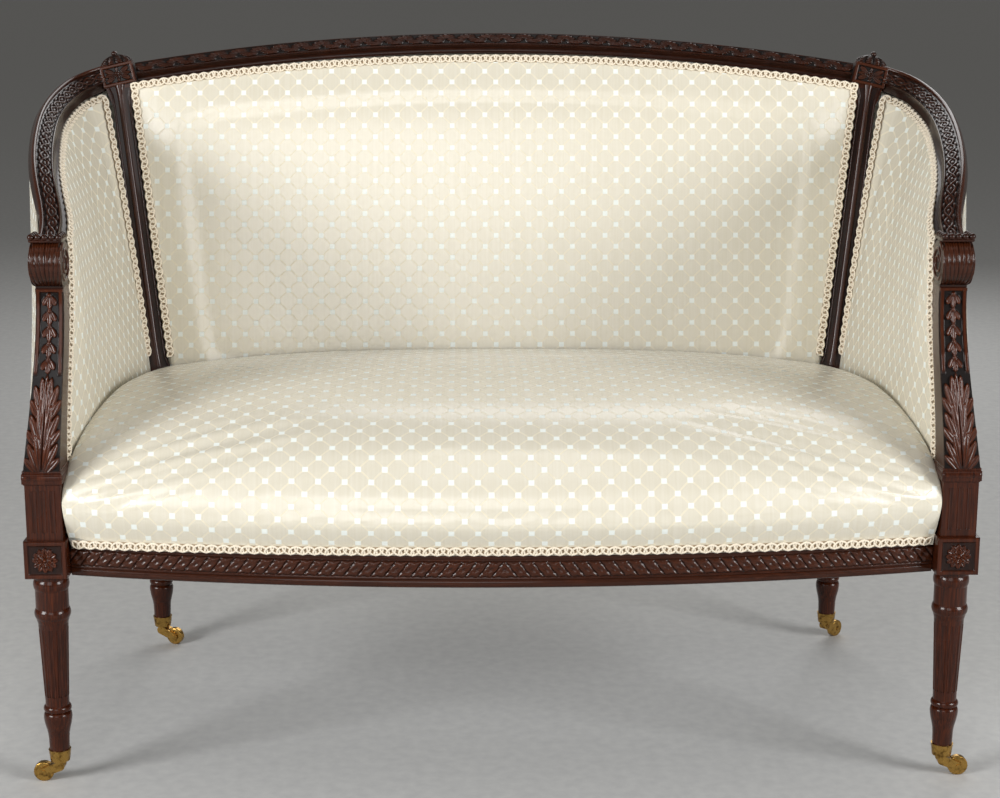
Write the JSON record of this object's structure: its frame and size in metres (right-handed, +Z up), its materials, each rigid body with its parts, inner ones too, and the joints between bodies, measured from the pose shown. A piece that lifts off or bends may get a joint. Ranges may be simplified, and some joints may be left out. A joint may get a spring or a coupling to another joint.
{
  "type": "settee",
  "caption": "Two-seat show-wood settee: bow-fronted stuffed seat, arched back, curved wings under carved arms, fluted legs on brass casters.",
  "frame": {"origin": "on the floor under the middle of the settee's width and depth", "axes": "+X towards the settee's right-hand end as seen from the front, -Y towards the front, +Z up"},
  "size_m": [1.2608, 0.6813, 0.8971],
  "materials": {
    "mahogany": "dark, french polished",
    "beech": "bare",
    "trellis_silk": "ribbed silk with a woven trellis",
    "outside_silk": "ribbed silk",
    "gimp": "woven braid",
    "hessian": "coarse jute",
    "webbing": "woven jute",
    "stuffing": "hair and fibre",
    "spring_steel": "coppered wire",
    "dust_cloth": "black calico",
    "brass": "aged"
  },
  "bodies": {
    "settee": {"arm_rail_left": "mahogany", "arm_rail_right": "mahogany", "arm_support_left": "mahogany", "arm_support_right": "mahogany", "back_gimp": "gimp", "back_hessian": "hessian", "back_pad": "trellis_silk", "back_post_left": "mahogany", "back_post_right": "mahogany", "back_rail": "beech", "back_stuffing_rail": "beech", "back_webbing": "webbing", "corner_blocks": "beech", "crest_rail": "mahogany", "dowels": "beech", "dust_cover": "dust_cloth", "finial_left": "mahogany", "finial_right": "mahogany", "front_left_caster_cup": "brass", "front_leg_left": "mahogany", "front_leg_right": "mahogany", "front_rail": "mahogany", "front_right_caster_cup": "brass", "outside_back_cover": "outside_silk", "outside_wing_cover_left": "outside_silk", "outside_wing_cover_right": "outside_silk", "rear_left_caster_cup": "brass", "rear_right_caster_cup": "brass", "seat_cover": "trellis_silk", "seat_gimp": "gimp", "seat_hessian": "hessian", "seat_springs": "spring_steel", "seat_stuffing": "stuffing", "seat_webbing": "webbing", "side_rail_left": "beech", "side_rail_right": "beech", "wing_gimp_left": "gimp", "wing_gimp_right": "gimp", "wing_hessian_left": "hessian", "wing_hessian_right": "hessian", "wing_pad_left": "trellis_silk", "wing_pad_right": "trellis_silk", "wing_stuffing_rail_left": "beech", "wing_stuffing_rail_right": "beech"},
    "front_left_swivel": {"front_left_caster_horn": "brass", "front_left_caster_axle": "brass"},
    "front_left_wheel": {"front_left_caster_wheel": "brass"},
    "front_right_swivel": {"front_right_caster_horn": "brass", "front_right_caster_axle": "brass"},
    "front_right_wheel": {"front_right_caster_wheel": "brass"},
    "rear_left_swivel": {"rear_left_caster_horn": "brass", "rear_left_caster_axle": "brass"},
    "rear_left_wheel": {"rear_left_caster_wheel": "brass"},
    "rear_right_swivel": {"rear_right_caster_horn": "brass", "rear_right_caster_axle": "brass"},
    "rear_right_wheel": {"rear_right_caster_wheel": "brass"}
  },
  "joints": [
    {"name": "front_left_caster_swivel", "type": "hinge", "parent": "settee", "child": "front_left_swivel", "pos_m": [-0.55, -0.26862, 0.027], "axis": [0, 0, 1], "continuous": true},
    {"name": "front_left_caster_roll", "type": "hinge", "parent": "front_left_swivel", "child": "front_left_wheel", "pos_m": [-0.5705, -0.26862, 0.0125], "axis": [0, -1, 0], "continuous": true},
    {"name": "front_right_caster_swivel", "type": "hinge", "parent": "settee", "child": "front_right_swivel", "pos_m": [0.55, -0.26862, 0.027], "axis": [0, 0, 1], "continuous": true},
    {"name": "front_right_caster_roll", "type": "hinge", "parent": "front_right_swivel", "child": "front_right_wheel", "pos_m": [0.5705, -0.26862, 0.0125], "axis": [0, 1, 0], "continuous": true},
    {"name": "rear_left_caster_swivel", "type": "hinge", "parent": "settee", "child": "rear_left_swivel", "pos_m": [-0.499, 0.23138, 0.027], "axis": [0, 0, 1], "continuous": true},
    {"name": "rear_left_caster_roll", "type": "hinge", "parent": "rear_left_swivel", "child": "rear_left_wheel", "pos_m": [-0.47974, 0.22437, 0.0125], "axis": [0.342, 0.9397, 0], "continuous": true},
    {"name": "rear_right_caster_swivel", "type": "hinge", "parent": "settee", "child": "rear_right_swivel", "pos_m": [0.499, 0.23138, 0.027], "axis": [0, 0, 1], "continuous": true},
    {"name": "rear_right_caster_roll", "type": "hinge", "parent": "rear_right_swivel", "child": "rear_right_wheel", "pos_m": [0.5147, 0.24456, 0.0125], "axis": [-0.6428, 0.766, 0], "continuous": true}
  ]
}
